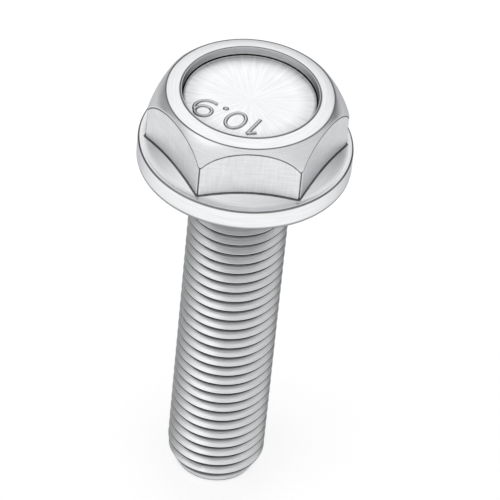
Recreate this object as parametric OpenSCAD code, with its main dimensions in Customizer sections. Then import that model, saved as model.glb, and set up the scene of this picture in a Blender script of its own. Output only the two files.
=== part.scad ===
// Hex flange bolt that clamps a cutting blade: one forged and rolled steel piece.
// The origin is the centre of the bearing face, the head points to +Z and the shank to -Z.
// The bolt stands on the flat end of its thread.

/* [Hexagon] */
// Width across the flats
across_flats = 17; // [16:0.5:18]
// Height of the head over the bearing face
head_h = 8.5; // [7:0.1:10]
// Mean slope of the turned chamfer that rounds off the six corners, in degrees
chamfer_slope = 60.5; // [50:0.5:62]
// How much steeper the chamfer is at the corners than at the top, in degrees
chamfer_turn = 36; // [10:2:40]

/* [Top] */
// Diameter of the round recess in the top
recess_d = 13.3; // [11:0.1:13.8]
// Depth of the recess at its wall
recess_depth = 0.9; // [0.5:0.1:2]
// How much deeper the dished floor is in the middle
recess_dish = 0.15; // [0.05:0.05:0.5]
// Radius between the wall and the floor of the recess
recess_fillet = 0.4; // [0.1:0.05:0.5]
// Width of the bright ring around the recess
ring_w = 1.6; // [1.2:0.1:1.8]
// How far the ring falls towards its outer edge
ring_fall = 0.25; // [0.05:0.05:0.4]

/* [Flange] */
// Diameter of the flange
flange_d = 21; // [20.8:0.1:26]
// Height of the upright rim of the flange
rim_h = 2.3; // [1.5:0.1:3]
// Rounding of both edges of the rim
rim_round = 0.25; // [0.1:0.05:0.4]
// Slope of the flange's top face where it meets the flats, in degrees
flange_slope = 28; // [15:1:32]
// Radius of the hollow curve between the rim and that slope
flange_blend = 1.5; // [0.5:0.1:2]

/* [Shank] */
// Length from the bearing face to the end
shank_l = 40; // [25:1:50]
// Diameter of the plain neck, the thread's nominal size
shank_d = 10; // [9:0.1:11]
// Length of the plain neck under the head
neck_l = 3.5; // [2.5:0.1:5]
// Radius of the fillet where the neck meets the bearing face
neck_fillet = 0.2; // [0.1:0.05:0.2]

/* [Thread] */
// Distance from one turn of the thread to the next
pitch = 1.25; // [1:0.05:1.5]
// How much smaller the crests' diameter is than the nominal size
crest_clearance = 0.14; // [0.1:0.02:0.3]
// Length over which the thread fades out below the neck
runout_l = 1.9; // [1:0.1:3]
// Turns over which the groove deepens from nothing at the end
lead_turns = 0.4; // [0.2:0.1:1]
// Diameter of the flat end
tip_d = 8; // [7.2:0.1:8]
// Length of the chamfer at the end
tip_l = 2; // [1.5:0.1:3]

/* [Hidden] */

// Steps of a full turn of the thread, of the turned surfaces and of each rounded edge
turn_steps = 36;
round_steps = 96;
arc_steps = 5;

// Overlap of solids that are fused, and reach of cutters past a face
overlap = 0.5;
slight_overlap = 0.1;

flange_r = flange_d / 2;
corner_r = across_flats / 2 / cos(30);
recess_r = recess_d / 2;
ring_r = recess_r + ring_w;
ring_z = head_h - ring_fall;
floor_z = head_h - recess_depth;

// Thread form with flanks at 30 degrees to the plane across the axis
flank_angle = 30;
thread_depth = 17 / 24 * pitch * cos(flank_angle);
neck_r = shank_d / 2;
crest_r = neck_r - crest_clearance / 2;
root_r = crest_r - thread_depth;
crest_w = pitch / 8;
flank_w = thread_depth * tan(flank_angle);
tip_r = tip_d / 2;

// Height and radius of the points that one turn of the thread's profile has
turn_profile = [
    [0, crest_r],
    [crest_w, crest_r],
    [crest_w + flank_w, root_r],
    [pitch - flank_w, root_r]
];
profile_points = len(turn_profile);

// The groove starts a little over the flat end, where the chamfer is still deeper than it.
// The last turn ends inside the neck all the way round, and a cap closes the skin over it.
thread_start_z = 0.38 * tip_l - shank_l;
turns = ceil((-neck_l - thread_start_z + flank_w) / pitch);
thread_rows = turns * profile_points;
cap_z = thread_start_z + (turns + 1) * pitch;

// Points of an arc around a centre, from one angle to another
function arc(centre, radius, from, to) = [
    for (i = [0:arc_steps])
        let (a = from + (to - from) * i / arc_steps)
        centre + radius * [cos(a), sin(a)]
];

// Points of a shallow dish, from its edge to the axis
function dish(edge_r, edge_z, depth) = let (
    radius = (edge_r * edge_r + depth * depth) / (2 * depth),
    half_angle = asin(edge_r / radius)
) arc([0, edge_z - depth + radius], radius, half_angle - 90, -90);

// The end chamfer is the most that the thread's radius may be at a height
function chamfer_at(z) = tip_r + (neck_r - tip_r) * (z + shank_l) / tip_l;

// The run-out is the least that it may be: the roots rise to the crests below the neck
function runout_at(z) = crest_r - thread_depth * (-neck_l - z) / runout_l;

// Radius of a point of the profile at a height, so many turns from the thread's start
function thread_r(profile_r, z, turn) = let (
    groove = (crest_r - profile_r) * min(1, turn / lead_turns)
) min(crest_r, chamfer_at(z), max(crest_r - groove, runout_at(z)));

// A point of the thread: its column goes round the axis, and its row goes up the profile.
// The first row is the flat end's edge, and the row past the last turn is the hidden cap's.
function thread_point(column, row) = let (
    a = 360 * column / turn_steps,
    on_end = row == 0,
    on_cap = row > thread_rows,
    step = turn_profile[(row - 1) % profile_points],
    turn = floor((row - 1) / profile_points) + column / turn_steps,
    z = on_end ? -shank_l : on_cap ? cap_z : thread_start_z + turn * pitch + step[0],
    r = on_end ? tip_r : on_cap ? crest_r : thread_r(step[1], z, turn)
) [r * cos(a), r * sin(a), z];

// Turned body of the head, from which the flats are then taken. Its chamfer is an arc
// from the ring's edge to a little beyond the corners.
module head_blank() {
    outer_r = corner_r + slight_overlap;
    start_slope = chamfer_slope - chamfer_turn / 2;
    end_slope = chamfer_slope + chamfer_turn / 2;
    chord = (outer_r - ring_r) / cos(chamfer_slope);
    radius = chord / 2 / sin(chamfer_turn / 2);
    centre = [ring_r, ring_z] - radius * [sin(start_slope), cos(start_slope)];
    rotate_extrude($fn = round_steps)
        polygon(concat(
            [[0, rim_h / 2], [outer_r, rim_h / 2]],
            arc(centre, radius, 90 - end_slope, 90 - start_slope),
            [
                [recess_r - overlap, head_h + overlap * ring_fall / ring_w],
                [0, head_h + overlap * ring_fall / ring_w]
            ]
        ));
}

// Shallow round recess. A flat band lies between its fillet and the dish of its floor.
module recess() {
    flat_r = recess_r - recess_fillet;
    rotate_extrude($fn = round_steps)
        polygon(concat(
            [[0, head_h + overlap], [recess_r, head_h + overlap]],
            arc([flat_r, floor_z + recess_fillet], recess_fillet, 0, -90),
            dish(flat_r - recess_fillet, floor_z, recess_dish)
        ));
}

module hexagon() {
    difference() {
        intersection() {
            cylinder(r = corner_r, h = head_h + overlap, $fn = 6);
            head_blank();
        }
        recess();
    }
}

// Flange with its bearing face at z = 0, the plain neck and the fillet between them
module flange_and_neck() {
    blend_x = flange_r - rim_round;
    slope_x = blend_x - flange_blend * sin(flange_slope);
    slope_z = rim_h + flange_blend * (1 - cos(flange_slope));
    inner_r = across_flats / 2 - 3 * overlap;
    inner_z = slope_z + (slope_x - inner_r) * tan(flange_slope);
    rotate_extrude($fn = round_steps)
        polygon(concat(
            [[0, -neck_l], [neck_r, -neck_l]],
            arc([neck_r + neck_fillet, -neck_fillet], neck_fillet, 180, 90),
            arc([blend_x, rim_round], rim_round, -90, 0),
            arc([blend_x, rim_h - rim_round], rim_round, 0, 90),
            arc([blend_x, rim_h + flange_blend], flange_blend, -90, -90 - flange_slope),
            [[inner_r, inner_z], [0, inner_z]]
        ));
}

// Right-hand thread as one closed skin. Going once round the axis lifts a row by one
// pitch, so the last column joins the first one a whole profile higher.
module thread() {
    k = profile_points;
    last = turn_steps - 1;
    top = thread_rows + 1;
    function id(column, row) = column * (top + 1) + row;
    points = [
        for (column = [0:last], row = [0:top]) thread_point(column, row)
    ];
    sides = [
        for (c = [0:last - 1], r = [0:top - 1], half = [0, 1])
            half == 0
                ? [id(c, r), id(c, r + 1), id(c + 1, r + 1)]
                : [id(c, r), id(c + 1, r + 1), id(c + 1, r)]
    ];
    seam = [
        for (r = [1:thread_rows - k - 1], half = [0, 1])
            half == 0
                ? [id(last, r), id(last, r + 1), id(0, r + 1 + k)]
                : [id(last, r), id(0, r + 1 + k), id(0, r + k)]
    ];
    start = concat(
        [for (r = [0:k]) [id(last, 0), id(0, r + 1), id(0, r)]],
        [[id(last, 0), id(last, 1), id(0, k + 1)]]
    );
    finish = concat(
        [for (r = [top - k - 1:top - 1]) [id(0, top), id(last, r), id(last, r + 1)]],
        [[id(0, top), id(0, top - 1), id(last, top - k - 1)]]
    );
    ends = [
        [for (c = [0:last]) id(c, 0)],
        [for (c = [last:-1:0]) id(c, top)]
    ];
    polyhedron(points = points, faces = concat(sides, seam, start, finish, ends));
}

module flange_bolt() {
    color("silver")
        union() {
            hexagon();
            flange_and_neck();
            thread();
        }
}

flange_bolt();
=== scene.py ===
# %% [markdown]
# # A flange bolt that clamps a blade
#
# The real bolt is one piece of steel. Its head and flange are forged, the top and the
# corners are turned, the thread is rolled, and the whole is plated bright with zinc.
# This lesson rebuilds it as one closed mesh in the order a workshop makes it, and then
# finishes its surface. Sizes are in metres, and MM turns a drawing's millimetres into them.

import math

import bpy
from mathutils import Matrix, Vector


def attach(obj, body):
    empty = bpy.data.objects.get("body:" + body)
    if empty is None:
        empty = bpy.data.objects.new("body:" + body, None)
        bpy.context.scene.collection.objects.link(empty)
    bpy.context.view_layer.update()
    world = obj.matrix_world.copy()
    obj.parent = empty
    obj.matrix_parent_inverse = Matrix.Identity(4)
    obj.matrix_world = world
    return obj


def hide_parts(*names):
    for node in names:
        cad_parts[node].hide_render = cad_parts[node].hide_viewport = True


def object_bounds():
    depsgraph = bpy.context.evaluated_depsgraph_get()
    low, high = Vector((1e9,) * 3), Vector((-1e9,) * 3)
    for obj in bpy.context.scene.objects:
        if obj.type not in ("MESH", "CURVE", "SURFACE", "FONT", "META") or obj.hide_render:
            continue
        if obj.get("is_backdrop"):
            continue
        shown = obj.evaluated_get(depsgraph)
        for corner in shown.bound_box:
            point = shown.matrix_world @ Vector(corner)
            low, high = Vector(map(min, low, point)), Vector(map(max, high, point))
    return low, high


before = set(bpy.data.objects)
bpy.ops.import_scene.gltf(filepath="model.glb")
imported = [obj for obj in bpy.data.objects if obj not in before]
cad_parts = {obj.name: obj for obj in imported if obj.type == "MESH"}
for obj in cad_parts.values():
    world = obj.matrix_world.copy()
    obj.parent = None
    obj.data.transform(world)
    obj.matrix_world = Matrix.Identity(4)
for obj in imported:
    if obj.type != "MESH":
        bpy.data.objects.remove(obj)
cad_low, cad_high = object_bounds()
MM = 0.001
print("CAD box in mm:", [round(c / MM, 2) for c in (*cad_low, *cad_high)])

# %% [markdown]
# ## The camera
#
# The drawing looks down on the bolt at about 42 degrees through a long lens, from a
# little to the left of one flat, and leans its shank to the left. A camera has three
# turns of its own, so it gets the direction it looks in, the direction of its right
# side, and its place. The right side carries the lean.

# %% Place the camera
CAMERA_AT = Vector((-31.64, -358.01, 308.95)) * MM
LOOKS_ALONG = Vector((0.06875, 0.74294, -0.66581))
RIGHT_SIDE = Vector((0.99677, -0.02338, 0.07684))
FOCAL_LENGTH = 351.27
SENSOR_WIDTH = 36.0

bpy.ops.object.select_all(action="DESELECT")
bpy.ops.object.camera_add(location=CAMERA_AT)
camera = bpy.context.object
camera.name = "camera"
backward = -LOOKS_ALONG.normalized()
right = RIGHT_SIDE.normalized()
turn = camera.matrix_world.to_3x3()
turn.col[0], turn.col[1], turn.col[2] = right, backward.cross(right), backward
camera.rotation_euler = turn.to_euler()
camera.data.lens = FOCAL_LENGTH
camera.data.sensor_width = SENSOR_WIDTH
camera.data.clip_end = 10
bpy.context.scene.camera = camera
print("camera distance in mm:", round(CAMERA_AT.length / MM, 1))

# %% [markdown]
# ## Drawing an outline
#
# Every turned part starts as a line through points that give a radius and a height.
# A curve object could hold it, but a chain of extruded points is already a mesh, and
# a mesh can be spun at once. A small plane is collapsed to one vertex, and that vertex
# is pulled from point to point.

# %% Helpers for outlines
def only(piece):
    """Make one object the only selected and active one."""
    bpy.ops.object.select_all(action="DESELECT")
    piece.select_set(True)
    bpy.context.view_layer.objects.active = piece
    return piece


def draw(name, points):
    """Draw a chain of edges through points, starting from a collapsed plane."""
    bpy.ops.object.select_all(action="DESELECT")
    bpy.ops.mesh.primitive_plane_add(size=MM)
    piece = bpy.context.object
    piece.name = piece.data.name = name
    bpy.ops.object.mode_set(mode="EDIT")
    bpy.ops.mesh.select_mode(type="VERT")
    bpy.ops.mesh.select_all(action="SELECT")
    bpy.ops.mesh.merge(type="CENTER")
    at = Vector()
    for i, point in enumerate(points):
        step = Vector(point) - at
        if i == 0:
            bpy.ops.transform.translate(value=step)
        else:
            bpy.ops.mesh.extrude_region_move(TRANSFORM_OT_translate={"value": step})
        at = Vector(point)
    bpy.ops.object.mode_set(mode="OBJECT")
    return piece


def arc(centre, radius, start, end, steps=5):
    """Points of an arc on a flat sheet, from one angle in degrees to another."""
    angles = [math.radians(start + (end - start) * i / steps) for i in range(steps + 1)]
    return [(centre[0] + radius * math.cos(a), centre[1] + radius * math.sin(a)) for a in angles]


def in_section(points):
    """Stand (radius, height) points up in the plane of a section."""
    return [(x, 0, z) for x, z in points]


# %% [markdown]
# ## Turning, and joining solids
#
# A lathe makes a solid from an outline by spinning it, and so does the spin operator.
# Spinning leaves doubled points on the axis and at the seam, so they are merged before
# the faces are turned outwards. Solids are then cut, crossed and fused with booleans,
# which is how forging dies, a lathe and a rolling die each leave their own surface.

# %% Helpers for solids
def tidy_mesh(piece):
    """Merge points that coincide, and turn every face outwards."""
    only(piece)
    bpy.ops.object.mode_set(mode="EDIT")
    bpy.ops.mesh.select_all(action="SELECT")
    bpy.ops.mesh.remove_doubles(threshold=0.002 * MM)
    bpy.ops.mesh.normals_make_consistent(inside=False)
    bpy.ops.object.mode_set(mode="OBJECT")
    return piece


def turned(name, points, steps=192):
    """Spin an outline of (radius, height) points once round the axis, as a lathe would."""
    piece = only(draw(name, in_section(points)))
    bpy.ops.object.mode_set(mode="EDIT")
    bpy.ops.mesh.select_all(action="SELECT")
    bpy.ops.mesh.spin(steps=steps, angle=math.tau, center=(0, 0, 0), axis=(0, 0, 1))
    bpy.ops.object.mode_set(mode="OBJECT")
    return tidy_mesh(piece)


def combine(piece, tool, operation):
    """Add, cut or keep the overlap with a second object, which is then deleted."""
    only(piece)
    step = piece.modifiers.new(operation.lower(), "BOOLEAN")
    step.operation, step.object, step.solver = operation, tool, "EXACT"
    bpy.ops.object.modifier_apply(modifier=step.name)
    only(tool)
    bpy.ops.object.delete()
    return only(piece)


# %% [markdown]
# ## The head's sizes
#
# The overall width and height come from the frame, so the mesh can't drift from the
# solid it stands for. The rest are the sizes of a 17 mm hexagon with a forged flange.

# %% Sizes of the head
FLANGE_R = cad_high.x
TOP_Z = cad_high.z
ACROSS_FLATS = 17.0 * MM
CORNER_R = ACROSS_FLATS / 2 / math.cos(math.radians(30))
RECESS_R = 6.65 * MM
RECESS_DEPTH = 0.9 * MM
RECESS_DISH = 0.15 * MM
RECESS_FILLET = 0.4 * MM
RING_R = 8.25 * MM
RING_FALL = 0.25 * MM
CHAMFER_SLOPE = math.radians(60.5)
CHAMFER_TURN = math.radians(36)
RIM_H = 2.3 * MM
RIM_ROUND = 0.25 * MM
FLANGE_SLOPE = math.radians(28)
FLANGE_BLEND = 1.5 * MM
NECK_R = 5.0 * MM
NECK_L = 3.5 * MM
NECK_FILLET = 0.2 * MM
CLEAR = 0.5 * MM
print("flange and height in mm:", round(FLANGE_R * 2 / MM, 2), round(TOP_Z / MM, 2))

# %% [markdown]
# ## The head blank
#
# A head starts as a round blank with a chamfer, and the dies then press six flats into
# it. The chamfer is not a cone but a bulge that steepens towards the corners. It could be
# a Subdivision Surface, but an arc in the outline has a radius that can be worked out:
# its two end slopes and the distance between its ends give it.

# %% Turned head blank
outer_r = CORNER_R + 0.1 * MM
ring_z = TOP_Z - RING_FALL
inner_rise = RING_FALL * CLEAR / (RING_R - RECESS_R)
first_slope = CHAMFER_SLOPE - CHAMFER_TURN / 2
last_slope = CHAMFER_SLOPE + CHAMFER_TURN / 2
bulge_r = (outer_r - RING_R) / math.cos(CHAMFER_SLOPE) / 2 / math.sin(CHAMFER_TURN / 2)
bulge_at = (RING_R - bulge_r * math.sin(first_slope), ring_z - bulge_r * math.cos(first_slope))
blank_outline = [
    (0, RIM_H / 2),
    (outer_r, RIM_H / 2),
    *arc(bulge_at, bulge_r, 90 - math.degrees(last_slope), 90 - math.degrees(first_slope), 12),
    (RECESS_R - CLEAR, TOP_Z + inner_rise),
    (0, TOP_Z + inner_rise),
]
blank = turned("head_blank", blank_outline)
print("head blank:", len(blank.data.vertices), "vertices")

# %% [markdown]
# ## The hexagon
#
# The curved edges on top of each flat are where the chamfer meets the flat side. They
# could be drawn as arcs, but they are never quite arcs: crossing the turned blank with a
# six-sided prism gives the true curves. The prism's upright corners are bevelled first,
# because forging dies don't leave a knife edge. Its edges are picked by their length.

# %% Hexagon
CORNER_ROUND = 0.3 * MM
bpy.ops.object.select_all(action="DESELECT")
bpy.ops.mesh.primitive_cylinder_add(
    vertices=6, radius=CORNER_R, depth=TOP_Z * 2, rotation=(0, 0, math.radians(30))
)
bolt = bpy.context.object
bolt.name = bolt.data.name = "blade_bolt"
bpy.ops.object.transform_apply(location=True, rotation=True, scale=True)
for edge in bolt.data.edges:
    a, b = (bolt.data.vertices[v].co for v in edge.vertices)
    edge.select = abs(a.z - b.z) > TOP_Z
bolt.data.polygons.foreach_set("select", [False] * len(bolt.data.polygons))
bpy.ops.object.mode_set(mode="EDIT")
bpy.ops.mesh.select_mode(type="EDGE")
bpy.ops.mesh.bevel(offset=CORNER_ROUND, segments=4)
bpy.ops.object.mode_set(mode="OBJECT")
combine(bolt, blank, "INTERSECT")
print("hexagon:", len(bolt.data.vertices), "vertices")

# %% [markdown]
# ## The recess in the top
#
# The punch that upsets the head leaves a shallow round pan with a slightly dished
# floor and a small fillet at its wall. The dish bends what the floor mirrors, so a
# flat floor would look dead. The pan is turned as a solid of its own and cut away.

# %% Recess
flat_r = RECESS_R - RECESS_FILLET
floor_z = TOP_Z - RECESS_DEPTH
dish_r = flat_r - RECESS_FILLET
sphere_r = (dish_r**2 + RECESS_DISH**2) / (2 * RECESS_DISH)
dish_half = math.degrees(math.asin(dish_r / sphere_r))
dish_centre_z = floor_z - RECESS_DISH + sphere_r
pan_outline = [
    (0, TOP_Z + CLEAR),
    (RECESS_R, TOP_Z + CLEAR),
    *arc((flat_r, floor_z + RECESS_FILLET), RECESS_FILLET, 0, -90, 6),
    *arc((0, dish_centre_z), sphere_r, dish_half - 90, -90, 10),
]
combine(bolt, turned("recess_cutter", pan_outline), "DIFFERENCE")
print("recess floor in mm:", round(floor_z / MM, 2), "down to", round((floor_z - RECESS_DISH) / MM, 2))

# %% [markdown]
# ## The flange
#
# A flange works as a built-in washer. Its top slopes up to the hexagon, its rim is
# upright with small rounds, and below it starts the plain neck of the shank, which
# tapers into the thread's root. It is one turned outline, fused with the head.

# %% Flange, neck and run-out
PITCH = 1.25 * MM
CREST_R = NECK_R - 0.07 * MM
THREAD_DEPTH = 17 / 24 * PITCH * math.cos(math.radians(30))
ROOT_R = CREST_R - THREAD_DEPTH
RUNOUT_L = 1.9 * MM
blend_x = FLANGE_R - RIM_ROUND
slope_x = blend_x - FLANGE_BLEND * math.sin(FLANGE_SLOPE)
slope_z = RIM_H + FLANGE_BLEND * (1 - math.cos(FLANGE_SLOPE))
inner_r = ACROSS_FLATS / 2 - 3 * CLEAR
inner_z = slope_z + (slope_x - inner_r) * math.tan(FLANGE_SLOPE)
flange_outline = [
    (0, -NECK_L - RUNOUT_L),
    (ROOT_R - 0.1 * MM, -NECK_L - RUNOUT_L),
    (NECK_R, -NECK_L),
    *arc((NECK_R + NECK_FILLET, -NECK_FILLET), NECK_FILLET, 180, 90),
    *arc((blend_x, RIM_ROUND), RIM_ROUND, -90, 0),
    *arc((blend_x, RIM_H - RIM_ROUND), RIM_ROUND, 0, 90),
    *arc((blend_x, RIM_H + FLANGE_BLEND), FLANGE_BLEND, -90, -90 - math.degrees(FLANGE_SLOPE), 6),
    (inner_r, inner_z),
    (0, inner_z),
]
combine(bolt, turned("flange", flange_outline), "UNION")
tidy_mesh(bolt)
print("head with flange:", len(bolt.data.vertices), "vertices")

# %% [markdown]
# ## Softened edges
#
# No edge of a plated bolt is sharp, and a sharp edge in a render catches no light.
# One bevel, limited by angle, rounds them all by a tenth of a millimetre.

# %% Soften the head
EDGE_ROUND = 0.1 * MM
SHARP_EDGE = math.radians(25)

only(bolt)
rounding = bolt.modifiers.new("rounding", "BEVEL")
rounding.width, rounding.segments = EDGE_ROUND, 3
rounding.limit_method, rounding.angle_limit = "ANGLE", SHARP_EDGE
bpy.ops.object.modifier_apply(modifier=rounding.name)
print("softened head:", len(bolt.data.vertices), "vertices")

# %% [markdown]
# ## The strength class
#
# The punch also raises plain numerals for the steel's strength class, 10.9, which every
# maker uses. A text object would bring a printer's letterforms, but a punch cutter's
# are round beads of one width. So each numeral starts as one or two lines, drawn flat in
# millimetres and then lifted onto the dished floor.

# %% Strokes of the numerals
BEAD_R = 0.22 * MM
BEAD_SINK = 0.08 * MM
DOT_R = 0.34 * MM
DOT_AT = (-2.35, -1.5)


def on_floor(points):
    """Lift flat points, in millimetres, onto the recess floor."""
    flat = [Vector((x, y, 0)) * MM for x, y in points]
    depth = dish_centre_z - BEAD_SINK
    return [p + Vector((0, 0, depth - math.sqrt(sphere_r**2 - p.length_squared))) for p in flat]


def oval(centre, along, across, lean, steps=32):
    """Points round an oval that leans by an angle in degrees, with the first point repeated."""
    turn_x, turn_y = math.cos(math.radians(lean)), math.sin(math.radians(lean))
    points = []
    for i in range(steps + 1):
        u = along * math.cos(math.tau * i / steps)
        v = across * math.sin(math.tau * i / steps)
        points.append((centre[0] + u * turn_x - v * turn_y, centre[1] + u * turn_y + v * turn_x))
    return points


strokes = {
    "one_stem": [(0.94, -2.97), (-0.43, -5.16)],
    "one_flag": [(-0.43, -5.16), (0.48, -4.97)],
    "zero": oval((-1.46, -3.23), 1.27, 0.87, 58),
    "nine_loop": oval((-4.56, -2.05), 0.84, 0.75, 20),
    "nine_tail": arc((-4.2, -1.69), 1.22, 190, 35, 16),
}
print("strokes:", {name: len(points) for name, points in strokes.items()})

# %% [markdown]
# ## Raised beads
#
# A line becomes a round tube once it is a curve with a bevel depth, and then a mesh
# again, so that it can be fused with the floor. The curve closes its tubes with flat
# caps, but a punch leaves round ends, so each cap is extruded and shrunk, ring by ring,
# into half a ball. The point is a ball too, flattened to the height of the beads.

# %% Raise the numerals
def round_end(piece, face_index, radius, steps=3):
    """Pull a flat end out into half a ball, ring by ring."""
    face = piece.data.polygons[face_index]
    at, out = face.center.copy(), face.normal.copy()
    bpy.ops.object.mode_set(mode="EDIT")
    bpy.ops.mesh.select_mode(type="FACE")
    bpy.ops.mesh.select_all(action="DESELECT")
    bpy.ops.object.mode_set(mode="OBJECT")
    piece.data.polygons[face_index].select = True
    bpy.ops.object.mode_set(mode="EDIT")
    reach, width = 0.0, 1.0
    for i in range(1, steps + 1):
        angle = math.radians(84) * i / steps
        ahead = radius * (math.sin(angle) - reach)
        bpy.ops.mesh.extrude_region_move(TRANSFORM_OT_translate={"value": out * ahead})
        at = at + out * ahead
        shrink = math.cos(angle) / width
        bpy.ops.transform.resize(value=(shrink, shrink, shrink), center_override=at)
        reach, width = math.sin(angle), math.cos(angle)
    bpy.ops.object.mode_set(mode="OBJECT")


def bead(name, points):
    """Make a round bead that follows points, closed if the last point is the first."""
    only(draw(name, points))
    bpy.ops.object.mode_set(mode="EDIT")
    bpy.ops.mesh.select_all(action="SELECT")
    bpy.ops.mesh.remove_doubles(threshold=0.01 * MM)
    bpy.ops.object.mode_set(mode="OBJECT")
    bpy.ops.object.convert(target="CURVE")
    line = bpy.context.object.data
    line.dimensions, line.use_fill_caps = "3D", True
    line.bevel_depth, line.bevel_resolution = BEAD_R, 4
    bpy.ops.object.convert(target="MESH")
    piece = tidy_mesh(bpy.context.object)
    ends = [face.index for face in piece.data.polygons if len(face.vertices) > 4]
    for index in ends:
        round_end(piece, index, BEAD_R)
    return tidy_mesh(piece)


for name, points in strokes.items():
    combine(bolt, bead(name, on_floor(points)), "UNION")
bpy.ops.object.select_all(action="DESELECT")
bpy.ops.mesh.primitive_uv_sphere_add(
    segments=24, ring_count=12, radius=DOT_R, location=on_floor([DOT_AT])[0]
)
dot = bpy.context.object
bpy.ops.object.transform_apply(location=True, rotation=True, scale=True)
bpy.ops.transform.resize(value=(1, 1, BEAD_R / DOT_R), center_override=on_floor([DOT_AT])[0])
bpy.ops.object.transform_apply(location=True, rotation=True, scale=True)
combine(bolt, dot, "UNION")
tidy_mesh(bolt)
print("head with numerals:", len(bolt.data.vertices), "vertices")

# %% [markdown]
# ## The thread's profile
#
# A rolled thread has flanks at 30 degrees, narrow flat crests and a rounded root, where
# the rolling die left no corner. The profile is one pitch of that outline. Its corners
# are replaced by arcs that touch both sides, so the flank angle stays true.

# %% One pitch of the thread
ROOT_ROUND = 0.14 * PITCH
CREST_ROUND = 0.05 * PITCH
FLANK = math.radians(30)


def corner(before, at, after, radius, steps):
    """Replace a corner of an outline by an arc that touches both of its sides."""
    a, c, b = Vector(before), Vector(at), Vector(after)
    to_a, to_b = (a - c).normalized(), (b - c).normalized()
    half = to_a.angle(to_b) / 2
    centre = c + (to_a + to_b).normalized() * (radius / math.sin(half))
    start = c + to_a * (radius / math.tan(half)) - centre
    sweep = start.angle_signed(c + to_b * (radius / math.tan(half)) - centre)
    points = []
    for i in range(steps + 1):
        way = -sweep * i / steps
        x = start.x * math.cos(way) - start.y * math.sin(way)
        y = start.x * math.sin(way) + start.y * math.cos(way)
        points.append((centre.x + x, centre.y + y))
    return points


crest_half = PITCH / 16
root_half = PITCH / 2 - crest_half - THREAD_DEPTH * math.tan(FLANK)
lower_edge, upper_edge = (CREST_R, crest_half), (CREST_R, PITCH - crest_half)
sharp_root = (ROOT_R - root_half / math.tan(FLANK), PITCH / 2)
profile = [
    (CREST_R, 0),
    *corner((CREST_R, 0), lower_edge, sharp_root, CREST_ROUND, 2),
    *corner(lower_edge, sharp_root, upper_edge, ROOT_ROUND, 5),
    *corner(sharp_root, upper_edge, (CREST_R, PITCH), CREST_ROUND, 2),
    (CREST_R, PITCH),
]
print("thread profile in mm:", [(round(x / MM, 3), round(z / MM, 3)) for x, z in profile])

# %% [markdown]
# ## Winding the thread
#
# Rings would be quicker, but only a helix advances one pitch a turn and runs in and out
# as a real thread does. The Screw modifier winds the profile upwards, right-handed. Its
# ragged ends are bisected flat and filled, which closes the mesh.

# %% Wind the thread
THREAD_START_Z = -41.66 * MM
END_Z = cad_low.z
TURNS = 33
TURN_STEPS = 96


def cut_flat(piece, height, keep_above):
    """Cut a piece off at a height and close it with a flat face."""
    only(piece)
    bpy.ops.object.mode_set(mode="EDIT")
    bpy.ops.mesh.select_all(action="SELECT")
    bpy.ops.mesh.bisect(
        plane_co=(0, 0, height),
        plane_no=(0, 0, 1),
        use_fill=True,
        clear_inner=keep_above,
        clear_outer=not keep_above,
        threshold=0.0001 * MM,
    )
    bpy.ops.object.mode_set(mode="OBJECT")
    return piece


thread = only(draw("thread", in_section([(x, z + THREAD_START_Z) for x, z in profile])))
winding = thread.modifiers.new("winding", "SCREW")
winding.axis, winding.angle = "Z", math.tau
winding.screw_offset, winding.iterations = PITCH, TURNS
winding.steps = winding.render_steps = TURN_STEPS
winding.use_merge_vertices = False
bpy.ops.object.modifier_apply(modifier=winding.name)
tidy_mesh(thread)
cut_flat(thread, END_Z, True)
cut_flat(thread, -NECK_L / 2, False)
tidy_mesh(thread)
print("thread:", len(thread.data.vertices), "vertices")

# %% [markdown]
# ## The end of the bolt
#
# The end is chamfered before the thread is rolled, so that a nut starts easily, and the
# first turns fade out over that cone. Crossing the thread with a turned body that holds
# everything but the chamfer's waste gives the same fading grooves. Then the thread is
# fused with the neck, whose taper lets the last groove run out.

# %% Chamfer the end and join
TIP_R = 4.0 * MM
TIP_L = 2.0 * MM
tip_slope = (NECK_R - TIP_R) / TIP_L
beyond = NECK_R + CLEAR
end_outline = [
    (0, END_Z - CLEAR),
    (TIP_R - tip_slope * CLEAR, END_Z - CLEAR),
    (beyond, END_Z + TIP_L + CLEAR / tip_slope),
    (beyond, 0),
    (0, 0),
]
combine(thread, turned("end_chamfer", end_outline), "INTERSECT")
combine(bolt, thread, "UNION")
tidy_mesh(bolt)
print("bolt:", len(bolt.data.vertices), "vertices")

# %% [markdown]
# ## Even shading
#
# Smooth shading hides the facets of the turned faces, but it also bends the light on a
# flat that ends in a narrow rounding. Weighted normals let each large face keep its own
# direction, so the flats stay flat and only the roundings turn the light.

# %% Shade the bolt
only(bolt)
bpy.ops.object.shade_smooth_by_angle(angle=math.radians(38))
even = bolt.modifiers.new("even_shading", "WEIGHTED_NORMAL")
even.keep_sharp = True
bpy.ops.object.modifier_apply(modifier=even.name)
print("bolt:", len(bolt.data.polygons), "faces")

# %% [markdown]
# ## Writing a material as sums
#
# A node tree for a turned part is mostly arithmetic on radius and height. Wired up node
# by node it can't be read, so a small class wraps a socket, and plus, minus and times on
# it each add one Math node.

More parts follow.
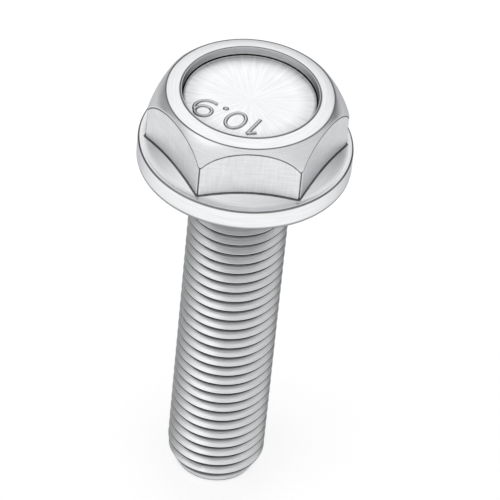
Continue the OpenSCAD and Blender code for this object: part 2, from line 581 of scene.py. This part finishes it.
# %% A socket that can be added and multiplied
class Wire:
    """One output of a node tree, with the signs of plain arithmetic."""

    def __init__(self, tree, socket=None):
        self.tree = tree
        self.socket = socket

    def node(self, kind, settings=None, inputs=None, output=0):
        """Add any node: its settings first, and then its input values or links."""
        made = self.tree.nodes.new(kind)
        for name, value in (settings or {}).items():
            setattr(made, name, value)
        for name, value in (inputs or {}).items():
            if isinstance(value, Wire):
                self.tree.links.new(value.socket, made.inputs[name])
            else:
                made.inputs[name].default_value = value
        return Wire(self.tree, made.outputs[output] if made.outputs else None)

    def math(self, operation, *values):
        return self.node("ShaderNodeMath", {"operation": operation}, dict(enumerate(values)))

    def __add__(self, other):
        return self.math("ADD", self, other)

    def __sub__(self, other):
        return self.math("SUBTRACT", self, other)

    def __rsub__(self, other):
        return self.math("SUBTRACT", other, self)

    def __mul__(self, other):
        return self.math("MULTIPLY", self, other)

    def __truediv__(self, other):
        return self.math("DIVIDE", self, other)

    __radd__ = __add__
    __rmul__ = __mul__

    def rise(self, low, high):
        """0 below low and 1 above high, with a smooth step between."""
        settings = {"interpolation_type": "SMOOTHSTEP"}
        return self.node("ShaderNodeMapRange", settings, {"Value": self, "From Min": low, "From Max": high})

    def near(self, centre, reach):
        """1 at a value, falling to 0 at a distance from it."""
        return 1 - self.math("ABSOLUTE", self - centre).rise(0.5 * reach, reach)

    def vector(self, x, y, z):
        return self.node("ShaderNodeCombineXYZ", {}, {"X": x, "Y": y, "Z": z})

    def noise(self, place, scale, detail=2.0, roughness=0.5):
        """Cloudy values about 0 that follow a place."""
        values = {"Vector": place, "Scale": scale, "Detail": detail, "Roughness": roughness}
        return self.node("ShaderNodeTexNoise", {}, values) - 0.5


# %% [markdown]
# ## Places on the bolt, as numbers
#
# The bolt is one solid with one plating, yet its faces were made by different tools, so
# they differ in finish. Picking faces by hand would be lost with the next change of
# shape. Radius, height and the distance to the nearest pair of flats tell them apart
# instead. All three are read in millimetres from the place on the object.

# %% Radius, height and distance to the flats
plating = bpy.data.materials.new("plated_steel")
plating.use_nodes = True
plating.node_tree.nodes.clear()
start = Wire(plating.node_tree)
place = start.node("ShaderNodeTexCoord", output="Object")
axes = {name: place.node("ShaderNodeSeparateXYZ", {}, {0: place}, name) / MM for name in "XYZ"}
x, y, z = axes["X"], axes["Y"], axes["Z"]
r = start.math("SQRT", x * x + y * y)
across = [x * math.cos(math.radians(a)) + y * math.sin(math.radians(a)) for a in (30, 90, 150)]
across = [start.math("ABSOLUTE", a) for a in across]
hexagon = start.math("MAXIMUM", start.math("MAXIMUM", across[0], across[1]), across[2])
print("places made:", len(plating.node_tree.nodes), "nodes")

# %% [markdown]
# ## The finishes of the head
#
# The ring, the rim and the chamfer are turned, the flats and the flange's top are forged,
# and the recess is punched. Each gets a mask, which is 1 on that face and 0 elsewhere. A
# mask is a product of steps, and each step lies a few hundredths of a millimetre beside
# an edge of the model, so that a rounded edge belongs to one face only.

# %% Masks of the head
recess_mm, ring_mm, flange_mm = RECESS_R / MM, RING_R / MM, FLANGE_R / MM
flat_mm, rim_mm, ground_mm = ACROSS_FLATS / 2 / MM, RIM_H / MM, floor_z / MM
upper = z.rise(rim_mm, rim_mm + 0.1)
past_recess = r.rise(recess_mm + 0.03, recess_mm + 0.09)
past_ring = r.rise(ring_mm - 0.05, ring_mm + 0.05)
past_flats = hexagon.rise(flat_mm + 0.03, flat_mm + 0.08)

in_recess = (1 - past_recess) * z.rise(ground_mm - 0.8, ground_mm - 0.6)
wall = in_recess * z.rise(ground_mm + 0.1, ground_mm + 0.3)
pan = in_recess - wall
ring = past_recess * (1 - past_ring) * z.rise(ground_mm, ground_mm + 0.1)
from_axis = r - bulge_at[0] / MM
bulge_z = bulge_at[1] / MM + start.math("SQRT", (bulge_r / MM) ** 2 - from_axis * from_axis)
chamfer = upper * (1 - ring) * (z - bulge_z).near(0, 0.16) * past_ring
flats = upper * hexagon.rise(flat_mm - 0.08, flat_mm - 0.03) * (1 - chamfer) * (1 - past_flats)
flange_top = upper * past_flats * (1 - r.rise(flange_mm - 0.1, flange_mm))
rim = r.rise(flange_mm - 0.3, flange_mm - 0.15) * (1 - z.rise(rim_mm - 0.1, rim_mm + 0.1))
print("head's masks made:", len(plating.node_tree.nodes), "nodes")

# %% [markdown]
# ## The finishes of the shank
#
# On the thread, what counts is how far a place is sunk under the nominal radius: the nut
# rubs the crests a little dull, and the grooves are darkened with painted shade, the roots
# most, where oil also makes them rougher. The end's cone is known by its own radius at each
# height. The face under the flange is darkened with painted shade, which the shank mirrors.

# %% Masks of the shank
neck_mm, end_mm = NECK_R / MM, END_Z / MM
sunk = neck_mm - r
shank = 1 - z.rise(-0.5, -0.3)
cone_r = TIP_R / MM + (z - end_mm) * tip_slope
tip = shank * (r - cone_r).near(0, 0.08) * (1 - z.rise(end_mm + 1.4, end_mm + 1.8))
crest = shank * (1 - sunk.rise(0.2, 0.32))
# Painted shade: the tone below darkens the roots most and the grooves less; oil makes the roots rougher.
root = shank * sunk.rise(0.6, 0.72) * (1 - tip)
groove_painted_shade = shank * sunk.rise(0.26, 0.66) * (1 - tip)
# Painted shade: the face under the flange is darkened, so that the top of the shank mirrors a shadow there.
bearing_face_shade = r.rise(neck_mm + 0.2, neck_mm + 0.3) * (1 - r.rise(flange_mm - 0.2, flange_mm - 0.1))
bearing_face_shade = bearing_face_shade * z.near(0, 0.1)
print("shank's masks made:", len(plating.node_tree.nodes), "nodes")

# %% [markdown]
# ## Edges, creases and the shadow under the crests
#
# Every edge and every crease is darkened with a fine grey line of painted shade, and so
# are the rim's lower edge and the pan's crease at its wall. The thread gets one more: a
# fine dark line of painted shadow just under each crest. The edges are places of one
# radius or height. The shadow line is a helix, so it is found by counting turns: height
# over pitch, less the share of a turn that the angle stands for.
# turns: height over pitch, less the share of a turn that the angle stands for.

# %% Masks for lines
# Painted shade: thin dark lines along the edges and along the flats' foot, darkened in the tone.
corner_peak = (CORNER_R - CORNER_ROUND * (2 - math.sqrt(3))) / MM
corners = upper * r.rise(corner_peak - 0.016, corner_peak - 0.002) * (1 - chamfer)
corners = corners * (1 - past_flats)
ring_edges = ring * (r.near(recess_mm + 0.1, 0.19) + r.near(ring_mm - 0.03, 0.17))
arcs = flats * (z - bulge_z).near(-0.08, 0.26)
slope_now = (slope_z + slope_x * math.tan(FLANGE_SLOPE)) / MM - r * math.tan(FLANGE_SLOPE)
foot = (z - slope_now).near(0, 0.16) * hexagon.near(flat_mm + 0.02, 0.14)
rim_edge = r.near(flange_mm - 0.08, 0.12) * z.near(rim_mm, 0.22)
end_edge = tip * (1 - r.rise(TIP_R / MM + 0.08, TIP_R / MM + 0.2)) * z.near(end_mm, 0.2)
edge_shade_lines = start.math("MINIMUM", ring_edges + arcs + corners + foot + rim_edge + end_edge, 1.0)
# Painted shade along the rim's lower edge and the face under it.
rim_underside_shade = r.rise(flange_mm - 0.6, flange_mm - 0.3) * (1 - z.rise(0.25, 0.5))
# Painted shade in the crease where the pan meets its wall.
crease_shade = pan * r.rise(recess_mm - 0.55, recess_mm - 0.3)

# Painted shadow: a dark helical line just under each crest of the thread.
turns_up = (z - THREAD_START_Z / MM) / (PITCH / MM) - start.math("ARCTAN2", y, x) / math.tau
below_crest = start.math("FRACT", turns_up - 0.042).rise(0.8, 0.84)
under_neck = 1 - z.rise(-NECK_L / MM - 0.4, -NECK_L / MM - 0.2)
crest_shadow_line = shank * under_neck * (1 - sunk.rise(0.3, 0.4)) * below_crest
print("lines made:", len(plating.node_tree.nodes), "nodes")

# %% [markdown]
# ## Marks of the tools
#
# Each tool leaves marks that run its own way: circles where the piece turned, upright
# and level scratches on the flats, streaks towards the rim in the punched pan. They are
# all one cloudy noise, stretched by scaling the place that it reads. The marks change
# the colour a little and feed the bump, and the unmarked noise varies the shine.

# %% Directional marks
ALONG, ACROSS = 0.5, 5.5
ray_x, ray_y = x / (r + 0.01), y / (r + 0.01)
turning = start.noise(start.vector(ray_x * 2.2, ray_y * 2.2, (r - z) * 6.0), 1.0, 4.0, 0.65)
upright = start.noise(start.vector(x * ACROSS, y * ACROSS, z * ALONG), 1.0, 3.0, 0.6)
level = start.noise(start.vector(x * ALONG, y * ALONG, z * ACROSS), 1.0, 3.0, 0.6)
streaks = start.noise(start.vector(ray_x * 16.0, ray_y * 16.0, r * 0.35), 1.0, 3.0, 0.6)
cloud = start.noise(place, 900.0, 3.0, 0.55)
grain = start.noise(place, 6000.0, 2.0, 0.5)
marks = pan * streaks + flats * (upright + level) * 0.6 + (1 - pan - flats) * turning
print("marks made:", len(plating.node_tree.nodes), "nodes")

# %% [markdown]
# ## The tone of the zinc
#
# Bright zinc is a bluish white metal. It is brightest where it was turned or burnished,
# and the end's cone is lightened more, as a painted reflection of the white floor. The
# recess's wall, its crease, the pan towards its wall and the thread's grooves, most of all
# at the root, are darkened with painted shade. The beads of the numerals get painted shade
# over their whole height and less of it on their burnished tops, so that they can be read.
# A mix of many layers could do this, but one sum is easier to follow: each mask adds its
# share to a tone of 1, or takes it away.

# %% Tone
over_floor = z - (floor_z - RECESS_DISH) / MM - r * r * (MM / (2 * sphere_r))
# Painted shade over the whole bead; the tops get less of it back in the brighter list.
bead_painted_shade = pan * over_floor.rise(0.01, 0.04)
beads_top = pan * over_floor.rise(0.09, 0.13)
# Painted shade in the pan, growing towards its wall.
pan_edge_shade = pan * r.rise(recess_mm - 2.25, recess_mm - 0.25)
# The end cone's share here is a painted reflection of the white floor.
brighter = [
    (ring, 0.08), (pan, 0.14), (rim, 0.16), (tip, 0.2), (flats, 0.05),
    (beads_top, 0.42), (cloud, 0.08), (marks, 0.45),
]
# Painted shade: the recess wall, the roots and grooves, the edge lines, the line under each crest, the
# rim's lower edge, the face under the flange, the crease, the pan's edge and the beads.
darker = [
    (chamfer, 0.04), (wall, 0.2), (crest, 0.05), (root, 0.5), (groove_painted_shade, 0.16),
    (edge_shade_lines, 0.88), (crest_shadow_line, 1.05), (rim_underside_shade, 0.75), (bearing_face_shade, 0.4), (crease_shade, 0.35),
    (pan_edge_shade, 0.28), (bead_painted_shade, 0.78),
]
tone = 1.0
for mask, share in brighter:
    tone = tone + mask * share
for mask, share in darker:
    tone = tone - mask * share
tint = start.node("ShaderNodeCombineColor", {}, {"Red": tone, "Green": tone, "Blue": tone})
print("tone made:", len(plating.node_tree.nodes), "nodes")

# %% [markdown]
# ## The plated metal
#
# One metallic shader is enough, because the whole bolt had the same bath. The tone
# multiplies the colour of zinc. Forged faces and oily roots are rougher than turned
# ones, and the marks go into a shallow bump, so that they also break up reflections.
# The specular tint dims the metal where light grazes it.

# %% Plated steel
ZINC = (0.74, 0.75, 0.76, 1.0)
EDGE_TINT = (0.5, 0.5, 0.52, 1.0)
forged = flats + flange_top
shine = 0.3 + forged * 0.1 + cloud * 0.12 + root * 0.3 + start.math("ABSOLUTE", grain) * 0.1
colour = start.node(
    "ShaderNodeMix",
    {"data_type": "RGBA", "blend_type": "MULTIPLY", "clamp_result": True},
    {"Factor": 1.0, 6: tint, 7: ZINC},
    output=2,
)
height = marks * 0.6 + grain * 0.25 * forged
bump = start.node(
    "ShaderNodeBump", {}, {"Strength": 0.35, "Distance": 0.02 * MM, "Height": height}, output="Normal"
)
surface = start.node(
    "ShaderNodeBsdfPrincipled",
    {},
    {"Base Color": colour, "Metallic": 1.0, "Roughness": shine, "Normal": bump, "Specular Tint": EDGE_TINT},
)
start.node("ShaderNodeOutputMaterial", {}, {"Surface": surface})
bolt.data.materials.clear()
bolt.data.materials.append(plating)
print("plated steel:", len(plating.node_tree.nodes), "nodes")

# %% [markdown]
# ## The floor
#
# Metal shows what stands around it, so the room is part of its look. The rim and the
# flats mirror the floor. It is white paper that takes a soft shadow, and it glows a
# little where it is seen or mirrored, so that it stays white around the bolt. The glow
# fades with distance, because a level floor would make every upright face one flat tone.

# %% Floor
FLOOR_SIZE = 6.0
PAPER_WHITE = (0.85, 0.85, 0.85, 1.0)
GLOW = 1.33
GLOW_SHARE = 0.45
bpy.ops.object.select_all(action="DESELECT")
bpy.ops.mesh.primitive_circle_add(
    vertices=128, radius=FLOOR_SIZE / 2, fill_type="NGON", location=(0, 0, END_Z)
)
floor = bpy.context.object
floor.name = floor.data.name = "floor"
bpy.ops.object.transform_apply(location=True, rotation=True, scale=True)
paper = bpy.data.materials.new("white_paper")
paper.use_nodes = True
paper.node_tree.nodes.clear()
sheet = Wire(paper.node_tree)
rays = ("Is Camera Ray", "Is Glossy Ray", "Is Transmission Ray")
seen = [sheet.node("ShaderNodeLightPath", output=name) for name in rays]
visible = sheet.math("MINIMUM", seen[0] + seen[1] + seen[2], 1.0)
spot = sheet.node("ShaderNodeTexCoord", output="Object")
far = sheet.node("ShaderNodeVectorMath", {"operation": "LENGTH"}, {0: spot}, "Value")
fall = 1.0 - (far + END_Z).rise(0.04, 0.3) * 0.12
pale = sheet.node("ShaderNodeCombineColor", {}, {"Red": fall, "Green": fall, "Blue": fall})
matt = sheet.node("ShaderNodeBsdfDiffuse", {}, {"Color": PAPER_WHITE})
glow = sheet.node("ShaderNodeEmission", {}, {"Color": pale, "Strength": GLOW})
mixed = sheet.node("ShaderNodeMixShader", {}, {0: visible * GLOW_SHARE, 1: matt, 2: glow})
sheet.node("ShaderNodeOutputMaterial", {}, {"Surface": mixed})
floor.data.materials.append(paper)
floor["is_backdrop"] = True
print("floor at mm:", round(END_Z / MM, 2))

# %% [markdown]
# ## Sky and lamp
#
# The sky is an even pale studio with soft patches. One bright patch stands high behind
# the bolt, where the ring and the pan look, and the side in front is a little lighter
# too. Dark patches low behind it give the chamfers and the thread's sides their shade,
# as black cards do in a photographer's studio. One large lamp from the upper left makes
# the soft shadow and the small highlights.

# %% Sky and lamp
sky = bpy.data.worlds.new("studio")
bpy.context.scene.world = sky
sky.use_nodes = True
sky.node_tree.nodes.clear()
air = Wire(sky.node_tree)
way = air.node("ShaderNodeTexCoord", output="Generated")


def towards(azimuth, elevation, low, high):
    """1 in a patch of sky, falling off between two angles in degrees from its centre."""
    a, e = math.radians(azimuth), math.radians(elevation)
    aim = (math.sin(a) * math.cos(e), math.cos(a) * math.cos(e), math.sin(e))
    facing = air.node("ShaderNodeVectorMath", {"operation": "DOT_PRODUCT"}, {0: way, 1: aim}, "Value")
    return facing.rise(math.cos(math.radians(high)), math.cos(math.radians(low)))


# Each patch: azimuth, elevation, where it starts to fade, where it ends, and its light
SKY_LEVEL = 0.85
PATCHES = [
    (12, 48, 24, 48, 0.32),
    (190, 12, 20, 80, 0.18),
    (0, 90, 10, 36, 0.07),
    (68, 40, 8, 28, -0.14),
    (-80, 38, 8, 26, -0.14),
    (42, 12, 12, 36, -0.7),
    (-42, 14, 12, 36, -0.5),
    (0, 0, 8, 30, -0.4),
]
light = SKY_LEVEL
for azimuth, elevation, low, high, strength in PATCHES:
    light = light + towards(azimuth, elevation, low, high) * strength
background = air.node("ShaderNodeBackground", {}, {"Color": (1.0, 1.0, 1.0, 1.0), "Strength": light})
air.node("ShaderNodeOutputWorld", {}, {"Surface": background})

LAMP_AT = Vector((-0.35, -0.1, 0.5))
LAMP_SIZE = 0.5
LAMP_WATTS = 0.32
bpy.ops.object.select_all(action="DESELECT")
bpy.ops.object.light_add(type="AREA", location=LAMP_AT)
lamp = bpy.context.object
lamp.name = "soft_lamp"
lamp.data.shape = "DISK"
lamp.data.size = LAMP_SIZE
lamp.data.energy = LAMP_WATTS
lamp.rotation_euler = (-LAMP_AT).to_track_quat("-Z", "Y").to_euler()
print("patches of sky:", len(PATCHES), "lamp at", [round(c, 2) for c in LAMP_AT])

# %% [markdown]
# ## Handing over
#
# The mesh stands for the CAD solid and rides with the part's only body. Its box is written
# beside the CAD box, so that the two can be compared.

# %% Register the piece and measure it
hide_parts("flange_bolt")
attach(bolt, "root")
bpy.context.scene.view_settings.view_transform = "Standard"
low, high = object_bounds()
print("visual box in mm:", [round(c / MM, 2) for c in (*low, *high)])
